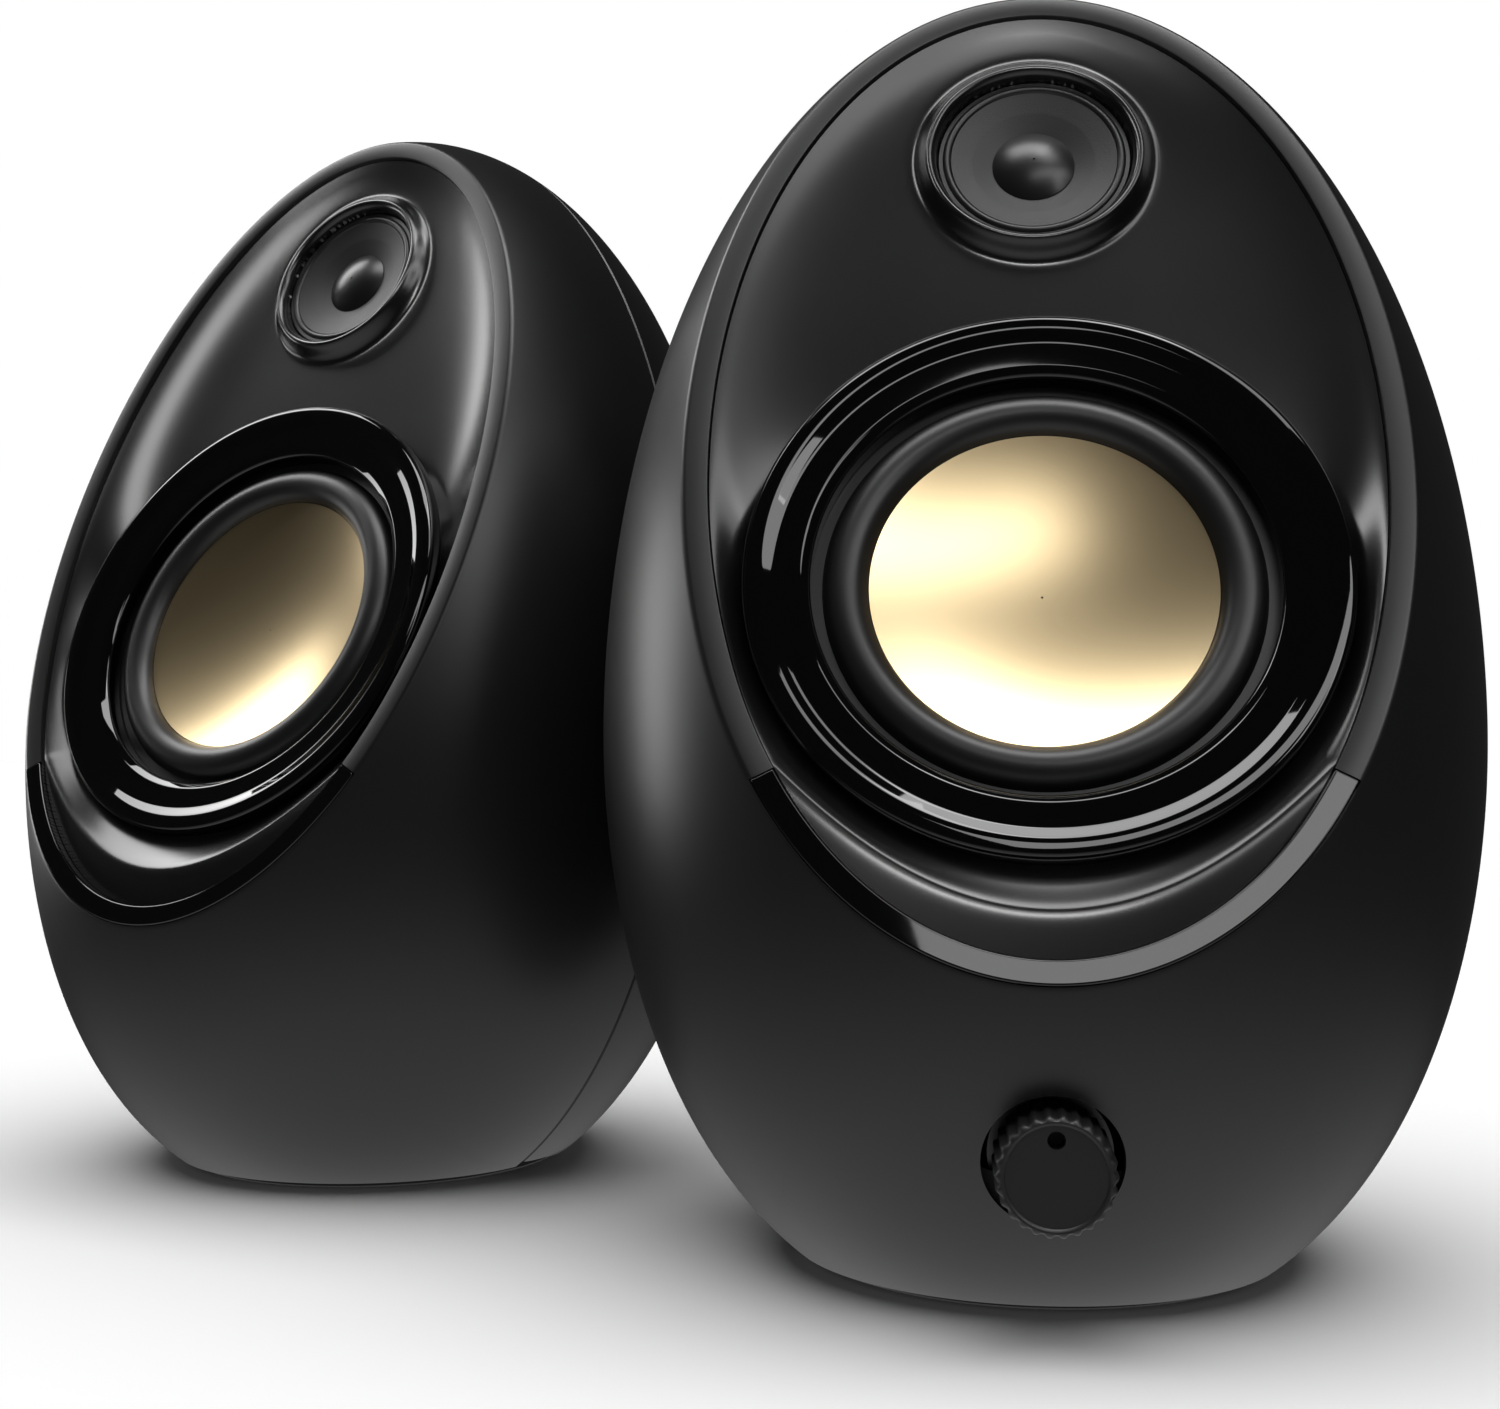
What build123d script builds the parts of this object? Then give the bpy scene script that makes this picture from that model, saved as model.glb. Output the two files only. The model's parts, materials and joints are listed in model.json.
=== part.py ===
from build123d import *
import math
import os

# A pair of egg-shaped desktop speakers: the main one, with a volume knob and the amplifier, and its satellite.
# Each speaker is modelled about the centre of its own base, facing -Y, and then placed. Millimetres, +Z up.

# Cabinet: an egg of revolution that leans back, cut off by a sloping front face.
EGG_R = 65.0              # radius of the widest ring
EGG_HIGH = 111.7          # widest ring to the upper pole
EGG_LOW = 88.6            # widest ring to the lower pole
LOW_FULLNESS = 0.403      # exponent of the lower half; 0.5 would be an ellipse
EGG_LEAN = 6.25           # degrees the egg's axis leans back
EGG_Y = 3.5               # widest ring's centre behind the base centre
EGG_Z = 78.6              # and above the floor
WALL = 3.0
FLOOR_GAP = 1.2           # cabinet's underside above the floor
SEAM = 0.3                # gap between the front and rear cabinet halves

# Front face: everything on it is placed by x, by height along the face, and by depth behind the face.
FACE_LEAN = 22.6          # degrees the face leans back
FACE_Y = -79.1            # where the face plane would meet the floor
RIM = 3.4                 # width of the cabinet's edge around the baffle
RIM_GAP = 0.15
SEAT_PLAY = 0.4           # baffle's flat seat reaches this far past the woofer's ring
BAFFLE_FRONT = 0.6        # depths behind the face plane
BAFFLE_SEAT = 4.2
BAFFLE_BACK = 8.0
LEDGE_BACK = 10.7
LEDGE_WIDTH = 5.5         # how far the ledge behind the baffle reaches inwards from the rim
OUTLINE_POINTS = 48

# Glossy lower trim, between two notches in the rim.
TRIM_PROUD = 0.15
TRIM_DEPTH = 1.6
NOTCH_X = 38.1
NOTCH_V = 76.3
TRIM_APEX_V = 97.1        # both end cuts aim at this height on the centre line
TRIM_GAP = 0.12

# Woofer
WOOFER_V = 107.0          # height of its centre along the face
RING_R = 40.4
RING_HOLE_R = 31.2
FLANGE_R = 38.4
CONE_R = 23.4
CONE_DEPTH = 6.2
DISH = 3.5                # how much deeper the cone's centre lies than its edge
CONE_SHEET = 0.6
ROLL_OUTER_R = 29.7
FORMER_R = 9.6
POLE_R = 9.0
GLUE = 0.03
WOOFER_PLATE_BACK = 24.5
WOOFER_MAGNET_BACK = 33.5
WOOFER_YOKE_BACK = 36.5
WOOFER_SCREW_R = 36.2

# Tweeter
TWEETER_V = 175.8
TWEETER_LIP_R = 16.0       # crest of the baffle's raised lip
TWEETER_LIP_DEPTH = 0.9
TWEETER_HOLE_R = 14.2
TWEETER_CONE_R = 12.1
DUST_CAP_R = 6.0
TWEETER_MAGNET_BACK = 20.0
TWEETER_YOKE_BACK = 22.0
TWEETER_SCREW_R = 15.9

# Volume knob: its axis is level and points forwards from (0, 0, KNOB_Z).
KNOB_Z = 23.3
KNOB_R = 7.5
KNOB_FRONT = 61.0         # distances in front of the base centre
POCKET_FLOOR = 48.0
POCKET_R = 8.95
POCKET_WALL = 2.0
SHAFT_R = 3.0
POT_R = 8.0
SHAFT_PLAY = 0.04
BUSHING_R = 3.5
GRIPS = 26
KNOB_FACE_R = 6.4         # sunk face
POINTER_UP = 4.4          # pointer hole's centre above the knob's axis
POINTER_R = 1.1
POINTER_DEEP = 3.2
SHAFT_BACK = 42.0         # shaft's buried end, in front of the base centre
SHAFT_FRONT = 58.9

# Rear socket panel, a flat pocket low on the back
PANEL_Y = 50.0
PANEL_WALL = 2.5
PANEL_HALF_WIDTH = 23.0
PANEL_LOW = 24.0
PANEL_HIGH = 51.0
SOCKET_Z = 38.0
SOCKET_STEP = 14.5
JACK_BORE_R = 1.8
JACK_BORE_LENGTH = 14.0
JACK_NOSE_R = 3.9
INLET_BORE_R = 2.9
INLET_NOSE_R = 5.0

# Amplifier board, on posts behind the sockets
BOARD_Z = SOCKET_Z - 7.0
BOARD_THICK = 1.6
BOARD_WIDE = 60.0
BOARD_DEEP = 40.0
BOARD_Y = 24.0
BOARD_POSTS = ((25, 14), (25, 38))       # mirrored in x

# Screws
LONG_SCREW = (2.8, 1.8, 1.25, 12.0)    # head radius, head height, shank radius, shank length
SHORT_SCREW = (2.0, 1.2, 1.0, 5.0)
THREAD_PLAY = 0.03
HOLE_PLAY = 0.15
COVER_POSTS = ((51.5, 52.0), (53.6, -38.0))   # x and height along the egg's axis, mirrored in x
POST_R = 4.2
POST_SEAT = 4.0           # cover post's thickness under its screw head

FOOT_R = 33.6
FOOT_THICK = 2.2

# Placing: each base centre in the pair's frame, whose origin is the middle of the pair's footprint box.
MAIN_X = 58.38
MAIN_Y = -34.91
SATELLITE_OFFSET_X = -118.16
SATELLITE_OFFSET_Y = 62.05
SATELLITE_TURN = -25.2

EGG_AT = Pos(0, EGG_Y, EGG_Z) * Rot(-EGG_LEAN, 0, 0)
SIN_FACE = math.sin(math.radians(FACE_LEAN))
COS_FACE = math.cos(math.radians(FACE_LEAN))
FACE_AT = Plane(origin=(0, FACE_Y, 0), x_dir=(1, 0, 0), z_dir=(0, -COS_FACE, SIN_FACE)).location
WOOFER_AT = FACE_AT * Pos(0, WOOFER_V, 0)
TWEETER_AT = FACE_AT * Pos(0, TWEETER_V, 0)
KNOB_AT = Plane(origin=(0, 0, KNOB_Z), x_dir=(1, 0, 0), z_dir=(0, -1, 0)).location
BIG = 400.0


def turned(points):
    """Solid of revolution from a closed (radius, depth) outline; depth runs into the cabinet, along -Z."""
    corners = [(radius, -depth) for radius, depth in points]
    face = make_face(Polyline(*corners, close=True))
    return revolve(Plane.XZ * face, Axis.Z)


def disc(radius, front, back):
    """Round bar between two depths."""
    return Pos(0, 0, -(front + back) / 2) * Cylinder(radius, back - front)


def tube(outer, inner, front, back):
    """Round tube between two depths."""
    return disc(outer, front, back) - disc(inner, front - 1, back + 1)


def around(count, radius, first_angle):
    """Evenly spaced places on a circle about Z."""
    angles = [first_angle + 360 * i / count for i in range(count)]
    return [(radius * math.cos(math.radians(a)), radius * math.sin(math.radians(a))) for a in angles]


def screw(size):
    """Self-tapping screw: head above z = 0, shank along -Z."""
    head_r, head_height, shank_r, length = size
    head = Pos(0, 0, head_height / 2) * Cylinder(head_r, head_height)
    head = chamfer(head.edges().group_by(Axis.Z)[-1], head_height / 3)
    slot = Pos(0, 0, head_height) * Box(head_r * 1.2, 0.5, 0.8)
    cross = Pos(0, 0, head_height) * Box(0.5, head_r * 1.2, 0.8)
    shank = Pos(0, 0, -length / 2) * Cylinder(shank_r, length)
    return head + shank - slot - cross


def egg_radius(height, shrink=0.0):
    """Egg's radius at a height along its axis, measured from the widest ring; 0 beyond the poles."""
    pole = (EGG_HIGH if height > 0 else EGG_LOW) - shrink
    power = 0.5 if height > 0 else LOW_FULLNESS
    return (EGG_R - shrink) * max(0.0, 1 - (height / pole) ** 2) ** power


def egg(shrink=0.0):
    """Solid egg in its place, moved inwards by shrink, its buried lower pole cut off flat."""
    low = 0.97 * (EGG_LOW - shrink)
    high = EGG_HIGH - shrink
    steps = [math.radians(7.5 * i) for i in range(13)]
    heights = [-low * math.cos(step) for step in steps] + [high * math.sin(step) for step in steps[1:-1]]
    points = [(egg_radius(height, shrink), height) for height in heights] + [(0, high)]
    axis = Polyline((0, high), (0, -low), points[0])
    return EGG_AT * revolve(Plane.XZ * make_face([Spline(*points), axis]), Axis.Z)


def above(height):
    """Half space above a level."""
    return Pos(0, 0, height + BIG / 2) * Box(BIG, BIG, BIG)


def face_half_width(v):
    """Half the width of the egg's cut at a height along the face."""
    y = FACE_Y + v * SIN_FACE - EGG_Y
    z = v * COS_FACE - EGG_Z
    lean = math.radians(EGG_LEAN)
    across = y * math.cos(lean) - z * math.sin(lean)
    along = y * math.sin(lean) + z * math.cos(lean)
    return math.sqrt(max(0.0, egg_radius(along) ** 2 - across ** 2))


def face_reach(angle):
    """Distance from the woofer's centre to the face's edge in a direction on the face."""
    near = 0.0
    far = 2 * EGG_HIGH
    for _ in range(40):
        middle = (near + far) / 2
        inside = middle * abs(math.cos(angle)) < face_half_width(WOOFER_V + middle * math.sin(angle))
        near, far = (middle, far) if inside else (near, middle)
    return near


def outline(inset):
    """Points of the face's edge, moved inwards by inset."""
    angles = [2 * math.pi * i / OUTLINE_POINTS for i in range(OUTLINE_POINTS)]
    step = 0.01
    points = []
    for angle in angles:
        here, before, after = [face_reach(angle + turn) for turn in (0, -step, step)]
        x = here * math.cos(angle)
        v = WOOFER_V + here * math.sin(angle)
        along_x = after * math.cos(angle + step) - before * math.cos(angle - step)
        along_v = after * math.sin(angle + step) - before * math.sin(angle - step)
        length = math.hypot(along_x, along_v)
        points.append((x - inset * along_v / length, v + inset * along_x / length))
    return points


def outline_face(inset):
    """Flat region inside the face's edge moved inwards by inset."""
    return make_face(Spline(*outline(inset), periodic=True))


def prism(inset, front, back):
    """Solid behind the inset outline, between two depths."""
    return FACE_AT * Pos(0, 0, -back) * extrude(outline_face(inset), back - front)


def trim_wedge(gap):
    """Region of the face below both notches, drawn in by gap."""
    reach_v = 2 * NOTCH_V - TRIM_APEX_V
    corners = [(0, TRIM_APEX_V - gap), (2 * NOTCH_X, reach_v - gap), (2 * NOTCH_X, 0)]
    corners += [(-2 * NOTCH_X, 0), (-2 * NOTCH_X, reach_v - gap)]
    return FACE_AT * Pos(0, 0, -BAFFLE_BACK) * extrude(make_face(Polyline(*corners, close=True)), 2 * BAFFLE_BACK)


def cabinet():
    """Solid cabinet before it is parted, and the cavity inside it, clear of the rim and its ledge."""
    behind_face = FACE_AT * Pos(0, 0, -BIG / 2) * Box(BIG, BIG * 1.5, BIG)
    solid = egg() & above(FLOOR_GAP) & behind_face
    cavity = (egg(WALL) & above(FLOOR_GAP + WALL)) - prism(-BIG / 20, -1, LEDGE_BACK)
    return solid, cavity


def half_space(side):
    """Region in front of (side -1) or behind (side 1) the seam through the egg's axis."""
    return EGG_AT * Pos(0, side * (BIG + SEAM) / 2, 0) * Box(BIG, BIG, BIG * 1.5)


def post_places():
    """Cabinet screw places: looking along +Y through the seam, with z towards the front."""
    places = []
    for x, height in COVER_POSTS:
        for side in (-1, 1):
            places.append(EGG_AT * Plane(origin=(side * x, 0, height), x_dir=(1, 0, 0), z_dir=(0, 1, 0)).location)
    return places


def baffle_screw_places():
    """Screws through the ledge into the baffle, heads towards the cabinet's inside."""
    ring = outline(RIM + LEDGE_WIDTH * 0.55)
    count = 6
    chosen = [ring[(i * OUTLINE_POINTS) // count + OUTLINE_POINTS // 12] for i in range(count)]
    return [FACE_AT * Pos(x, v, -LEDGE_BACK) * Rot(180, 0, 0) for x, v in chosen]


def board_posts():
    """Places of the posts that carry the amplifier board, at the board's underside."""
    return [Pos(side * x, y, BOARD_Z) for x, y in BOARD_POSTS for side in (-1, 1)]


def housing(solid, cavity, with_knob):
    """Front cabinet half: rim, ledge behind the baffle, screw bosses, and the main speaker's knob pocket."""
    for place in post_places():
        cavity -= place * Pos(0, 0, -8) * Cylinder(POST_R, 16)
    if with_knob:
        cup_back = POCKET_FLOOR - POCKET_WALL
        cavity -= KNOB_AT * Pos(0, 0, cup_back + 15) * Cylinder(POCKET_R + POCKET_WALL, 30)
        cavity += KNOB_AT * Pos(0, 0, cup_back - 5) * Cylinder(POT_R + 0.4, 10)
    part = (solid & half_space(-1)) - cavity
    part -= prism(RIM, -1, BAFFLE_BACK + RIM_GAP)
    part -= prism(RIM + LEDGE_WIDTH, 0, BIG / 20)
    part -= foot_recess()
    part -= trim_band(TRIM_GAP, TRIM_DEPTH + TRIM_GAP)
    for place in post_places():
        part -= place * Pos(0, 0, -7) * Cylinder(LONG_SCREW[2] + THREAD_PLAY, 14)
    for place in baffle_screw_places():
        part -= place * Cylinder(SHORT_SCREW[2] + HOLE_PLAY, 10)
    if with_knob:
        part -= KNOB_AT * Pos(0, 0, POCKET_FLOOR + 15) * Cylinder(POCKET_R, 30)
        part -= KNOB_AT * Pos(0, 0, POCKET_FLOOR) * Cylinder(BUSHING_R + HOLE_PLAY, 10)
    return part


def foot_recess():
    """Round recess in the underside for the foot pad."""
    return disc(FOOT_R + RIM_GAP, -(FLOOR_GAP + 1), 0)


def trim_band(gap, back):
    """The lower trim's ring sector, widened by gap."""
    ring = prism(-gap, -TRIM_PROUD, back) - prism(RIM, -TRIM_PROUD - 1, back + 1)
    return ring & trim_wedge(-gap)


def lower_trim():
    """Glossy band that lies in the rim's rebate, almost flush with it."""
    band = prism(0, -TRIM_PROUD, TRIM_DEPTH) - prism(RIM - TRIM_GAP, -TRIM_PROUD - 1, TRIM_DEPTH + 1)
    return band & trim_wedge(0)


def rear_cover(solid, cavity, socket_holes, with_board):
    """Rear cabinet half with screw posts and the socket panel."""
    width = 2 * (PANEL_HALF_WIDTH + PANEL_WALL)
    height = PANEL_HIGH - PANEL_LOW + 2 * PANEL_WALL
    middle = (PANEL_LOW + PANEL_HIGH) / 2
    cavity -= Pos(0, PANEL_Y - PANEL_WALL + 25, middle) * Box(width, 50, height)
    for place in post_places():
        cavity -= place * Pos(0, 0, BIG / 16) * Cylinder(POST_R, BIG / 8)
    if with_board:
        for place in board_posts():
            cavity -= place * Pos(0, 0, -BOARD_Z / 2) * Cylinder(3, BOARD_Z)
    part = (solid & half_space(1)) - cavity - foot_recess()
    pocket = Pos(0, PANEL_Y + 25, middle) * Box(2 * PANEL_HALF_WIDTH, 50, PANEL_HIGH - PANEL_LOW)
    part -= fillet(pocket.edges().filter_by(Axis.Y), 4)
    for x, radius in socket_holes:
        part -= Pos(x, PANEL_Y, SOCKET_Z) * Rot(90, 0, 0) * Cylinder(radius + HOLE_PLAY, 12)
    if with_board:
        for place in board_posts():
            part -= place * Pos(0, 0, -6) * Cylinder(LONG_SCREW[2] + THREAD_PLAY, 12.4)
    for place in post_places():
        part -= place * Pos(0, 0, POST_SEAT + BIG / 8) * Cylinder(LONG_SCREW[0] + 0.6, BIG / 4)
        part -= place * Pos(0, 0, POST_SEAT) * Cylinder(LONG_SCREW[2] + HOLE_PLAY, 3 * POST_SEAT)
    return part


def cover_screws(with_board):
    """Screws that join the cabinet halves, and the same ones that hold the board."""
    places = [place * Pos(0, 0, POST_SEAT) for place in post_places()]
    if with_board:
        places += [place * Pos(0, 0, BOARD_THICK) for place in board_posts()]
    return Compound([place * screw(LONG_SCREW) for place in places])


def baffle():
    """Front panel: a dish that falls from the rim to the woofer's seat, with a raised lip for the tweeter."""
    plate = prism(RIM + RIM_GAP, BAFFLE_FRONT, BAFFLE_BACK)
    seat_low = WOOFER_V - RING_R - SEAT_PLAY
    seat_high = WOOFER_V + RING_R + SEAT_PLAY
    profile = [(seat_low - 12, 0), (seat_low, BAFFLE_SEAT), (seat_high, BAFFLE_SEAT), (192.5, 3.0), (200.5, 0)]
    slope = extrude(make_face(Polyline(*profile, close=True)), EGG_R, both=True)
    slope = FACE_AT * Plane(origin=(0, 0, 0), x_dir=(0, 1, 0), z_dir=(-1, 0, 0)).location * slope
    plate -= slope & prism(RIM + 0.8, -1, BAFFLE_SEAT + 1)
    lip = [
        (TWEETER_HOLE_R, 5.0), (TWEETER_HOLE_R, 3.1), (TWEETER_LIP_R - 0.7, TWEETER_LIP_DEPTH + 0.3),
        (TWEETER_LIP_R, TWEETER_LIP_DEPTH), (TWEETER_LIP_R + 0.7, TWEETER_LIP_DEPTH + 0.5), (TWEETER_LIP_R + 1.6, 5.0)]
    plate += TWEETER_AT * turned(lip)
    plate -= TWEETER_AT * disc(TWEETER_HOLE_R, -2, 12)
    plate -= WOOFER_AT * disc(FLANGE_R + 0.2, 3, 5.9)
    for x, v in around(4, WOOFER_SCREW_R, 45):
        plate += WOOFER_AT * Pos(x, v, 0) * disc(2.6, 5.9, 10.5)
    plate -= WOOFER_AT * disc(34.8, 3, 12)
    for x, v in around(4, WOOFER_SCREW_R, 45):
        plate -= WOOFER_AT * Pos(x, v, 0) * disc(SHORT_SCREW[2] + THREAD_PLAY, 4, 9.6)
    for x, v in around(3, TWEETER_SCREW_R, 30):
        plate -= TWEETER_AT * Pos(x, v, 0) * disc(SHORT_SCREW[2] + THREAD_PLAY, 4.2, 9)
    for place in baffle_screw_places():
        plate -= place * disc(SHORT_SCREW[2] + THREAD_PLAY, -1, SHORT_SCREW[3] + 0.2)
    return plate


def baffle_screws():
    """Short screws: woofer to baffle, tweeter to baffle, and baffle to the cabinet's ledge."""
    woofer = [WOOFER_AT * Pos(x, v, -4.3) for x, v in around(4, WOOFER_SCREW_R, 45)]
    tweeter = [TWEETER_AT * Pos(x, v, -9.5) * Rot(180, 0, 0) for x, v in around(3, TWEETER_SCREW_R, 30)]
    return Compound([place * screw(SHORT_SCREW) for place in woofer + tweeter + baffle_screw_places()])


def woofer_ring():
    """Glossy trim ring: outer bead, flat band and inner lip, hollow behind for the screw heads."""
    ring = turned([
        (RING_R, 4.2), (RING_R, 2.8), (39.9, 1.9), (39.0, 1.35), (38.0, 1.15), (37.2, 1.45), (36.2, 2.0),
        (32.4, 2.5), (31.6, 2.9), (RING_HOLE_R, 3.8), (RING_HOLE_R, 6.2), (32.4, 6.2), (32.4, 4.25),
        (33.4, 4.25), (33.4, 3.4), (34.0, 3.1), (38.7, 2.9), (38.7, 4.2)])
    return WOOFER_AT * ring


def woofer_basket():
    """Pressed frame with a front flange, a spider step, a rear plate and six windows."""
    frame = turned([
        (33.0, 4.3), (FLANGE_R, 4.3), (FLANGE_R, 5.85), (34.4, 5.85), (34.4, 8.4), (26.4, 14.4),
        (22.6, 14.4), (22.6, 21.5), (12.0, 21.5), (12.0, 20.0), (21.2, 20.0), (21.2, 13.0),
        (25.6, 13.0), (31.4, 8.3), (30.2, 8.3), (30.2, 6.85), (33.0, 6.85)])
    for x, v in around(6, 28.0, 0):
        angle = math.degrees(math.atan2(v, x))
        frame -= Rot(0, 0, angle) * Pos(29.5, 0, -11.4) * Box(4.5, 16, 3.2)
    for x, v in around(6, 22.0, 30):
        frame -= Pos(x, v, -17) * Cylinder(2.6, 3.2)
    for x, v in around(4, WOOFER_SCREW_R, 45):
        frame -= Pos(x, v, -5) * Cylinder(SHORT_SCREW[2] + HOLE_PLAY, 4)
    return WOOFER_AT * frame


def woofer_cone():
    """Metal dish with a joining collar on its back."""
    steps = 12
    front = [(CONE_R * i / steps, CONE_DEPTH + DISH * (1 - (i / steps) ** 2)) for i in range(steps + 1)]
    back = [(radius, depth + CONE_SHEET) for radius, depth in reversed(front)]
    front_edge = Spline(*[(r, -d) for r, d in front], tangents=[(1, 0), (2, 0.6)])
    back_edge = Spline(*[(r, -d) for r, d in back], tangents=[(-2, -0.6), (-1, 0)])
    sides = [Line(front_edge @ 1, back_edge @ 0), Line(back_edge @ 1, front_edge @ 0)]
    dish = revolve(Plane.XZ * make_face([front_edge, back_edge] + sides), Axis.Z)
    return WOOFER_AT * (dish + tube(FORMER_R - 0.25, FORMER_R - 1.0, 9.4, 11.0))


def half_roll(inner_r, outer_r, edge_depth, sheet, outer_land):
    """Surround: a half-round roll bulging forwards, with a short inner foot and a flat outer land."""
    radius = (outer_r - inner_r) / 2
    centre = Pos((inner_r + outer_r) / 2, -edge_depth - sheet)
    ring = centre * (Circle(radius) - Circle(radius - sheet))
    keep = centre * Pos(0, radius) * Rectangle(4 * radius, 2 * radius)
    land = turned([
        (outer_r - sheet, edge_depth), (outer_r + outer_land, edge_depth),
        (outer_r + outer_land, edge_depth + sheet), (outer_r - sheet, edge_depth + sheet)])
    return land + revolve(Plane.XZ * (ring & keep), Axis.Z)


def woofer_surround():
    return WOOFER_AT * half_roll(CONE_R + GLUE, ROLL_OUTER_R, CONE_DEPTH + 0.1, 0.5, 2.9)


def woofer_voice_coil():
    """Former with its winding."""
    former = tube(FORMER_R, FORMER_R - 0.2, 9.9, 27.0)
    winding = tube(FORMER_R + 0.4, FORMER_R - 0.05, 19.0, 26.5)
    return WOOFER_AT * (former + winding)


def woofer_spider():
    """Corrugated centring disc between the former and the basket's step."""
    crests = [11.5 + 1.15 * i for i in range(9)]
    front = [(9.65, 12.4)] + [(r, 12.4 + 0.55 * (i % 2)) for i, r in enumerate(crests)] + [(24.8, 12.4)]
    back = [(radius, depth + 0.5) for radius, depth in reversed(front)]
    return WOOFER_AT * turned(front + back)


def woofer_top_plate():
    return WOOFER_AT * tube(23.0, 10.5, 21.5, WOOFER_PLATE_BACK)


def woofer_magnet():
    return WOOFER_AT * tube(25.0, 14.0, WOOFER_PLATE_BACK, WOOFER_MAGNET_BACK)


def woofer_yoke():
    """Back plate and pole piece in one."""
    plate = disc(23.0, WOOFER_MAGNET_BACK, WOOFER_YOKE_BACK)
    pole = disc(POLE_R, 21.0, WOOFER_YOKE_BACK)
    return WOOFER_AT * (plate + pole - disc(2.5, 20.0, WOOFER_YOKE_BACK + 1))


def tweeter_frame():
    """Steel frame: front tube, mounting flange behind the baffle, and a rear plate around the coil."""
    frame = turned([
        (12.4, 3.3), (13.95, 3.3), (13.95, 8.05), (17.8, 8.05), (17.8, 9.5), (13.0, 9.5), (12.6, 14.0),
        (6.5, 14.0), (6.5, 12.6), (11.4, 12.6), (12.4, 6.6)])
    for x, v in around(3, TWEETER_SCREW_R, 30):
        frame -= Pos(x, v, 0) * disc(SHORT_SCREW[2] + HOLE_PLAY, 7, 11)
    return TWEETER_AT * frame


def tweeter_cone():
    """Paper cone with a flat edge glued to its surround."""
    return TWEETER_AT * turned([
        (TWEETER_CONE_R, 3.0), (TWEETER_CONE_R, 3.3), (DUST_CAP_R - 0.3, 5.4), (DUST_CAP_R - 0.3, 5.0)])


def tweeter_dust_cap():
    """Domed cap over the voice coil."""
    rise = 1.7
    base = 4.75
    ball = (DUST_CAP_R ** 2 + rise ** 2) / (2 * rise)
    cap = Pos(0, 0, rise - ball - base) * (Sphere(ball) - Sphere(ball - 0.35))
    return TWEETER_AT * (cap & disc(DUST_CAP_R + 1, 2.0, base))


def tweeter_surround():
    return TWEETER_AT * half_roll(TWEETER_CONE_R + GLUE, 13.3, 3.0, 0.25, 0.6)


def tweeter_voice_coil():
    former = tube(5.65, 5.5, 5.5, 14.5)
    return TWEETER_AT * (former + tube(5.95, 5.6, 11.6, 14.4))


def tweeter_magnet():
    return TWEETER_AT * tube(12.0, 7.5, 14.0, TWEETER_MAGNET_BACK)


def tweeter_yoke():
    return TWEETER_AT * (disc(12.0, TWEETER_MAGNET_BACK, TWEETER_YOKE_BACK) + disc(5.1, 12.4, TWEETER_YOKE_BACK))


def tweeter_capacitor():
    """Series capacitor lying across the tweeter's back."""
    body = Rot(0, 90, 0) * Cylinder(3.2, 11)
    body = fillet(body.edges(), 0.6)
    return TWEETER_AT * Pos(0, 4, -TWEETER_YOKE_BACK - 3.3) * body


def face_point(x, v, depth):
    """Point behind the face in the speaker's own axes."""
    return (FACE_AT * Pos(x, v, -depth)).position


def driver_leads():
    """Insulated leads from the sockets' side of the cabinet to both drivers."""
    woofer_end = face_point(6, WOOFER_V - 8, WOOFER_YOKE_BACK + 1.0)
    tweeter_end = face_point(-5, TWEETER_V - 3, TWEETER_YOKE_BACK + 1.0)
    starts = [Vector(8, 20, BOARD_Z + 4), Vector(-8, 24, BOARD_Z + 4)]
    bends = [[Vector(8, 20, 62)], [Vector(-8, 34, 70), Vector(-6, 36, 128)]]
    leads = []
    for start, middle, end in zip(starts, bends, [woofer_end, tweeter_end]):
        path = FilletPolyline(start, *middle, end, radius=12)
        section = Plane(origin=path @ 0, z_dir=path % 0) * Circle(0.9)
        leads.append(sweep(section, path))
    return Compound(leads)


def foot_pad():
    """Rubber disc set into the underside."""
    pad = Pos(0, 0, FOOT_THICK / 2) * Cylinder(FOOT_R, FOOT_THICK)
    return chamfer(pad.edges().group_by(Axis.Z)[0], 0.3)


def volume_knob():
    """Ribbed knob with a recessed face, a blind pointer hole and a boss that grips the shaft."""
    body = Pos(0, 0, (KNOB_FRONT + POCKET_FLOOR + 0.6) / 2) * Cylinder(KNOB_R, KNOB_FRONT - POCKET_FLOOR - 0.6)
    body = chamfer(body.edges().group_by(Axis.Z)[-1], 0.4)
    for x, z in around(GRIPS, KNOB_R + 0.75, 0):
        body -= Pos(x, z, KNOB_FRONT - 6) * Cylinder(1.0, 20)
    body -= Pos(0, 0, KNOB_FRONT) * Cylinder(KNOB_FACE_R, 0.6)
    body -= Pos(0, POINTER_UP, KNOB_FRONT) * Cylinder(POINTER_R, 2 * POINTER_DEEP)
    body -= Pos(0, 0, POCKET_FLOOR) * Cylinder(6.2, 9)
    body -= Pos(0, 0, POCKET_FLOOR) * Cylinder(SHAFT_R + 0.01, 22)
    return KNOB_AT * body


def knob_shaft():
    """Potentiometer shaft, flattened where the knob grips it."""
    return KNOB_AT * Pos(0, 0, (SHAFT_FRONT + SHAFT_BACK) / 2) * Cylinder(SHAFT_R, SHAFT_FRONT - SHAFT_BACK)


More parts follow.
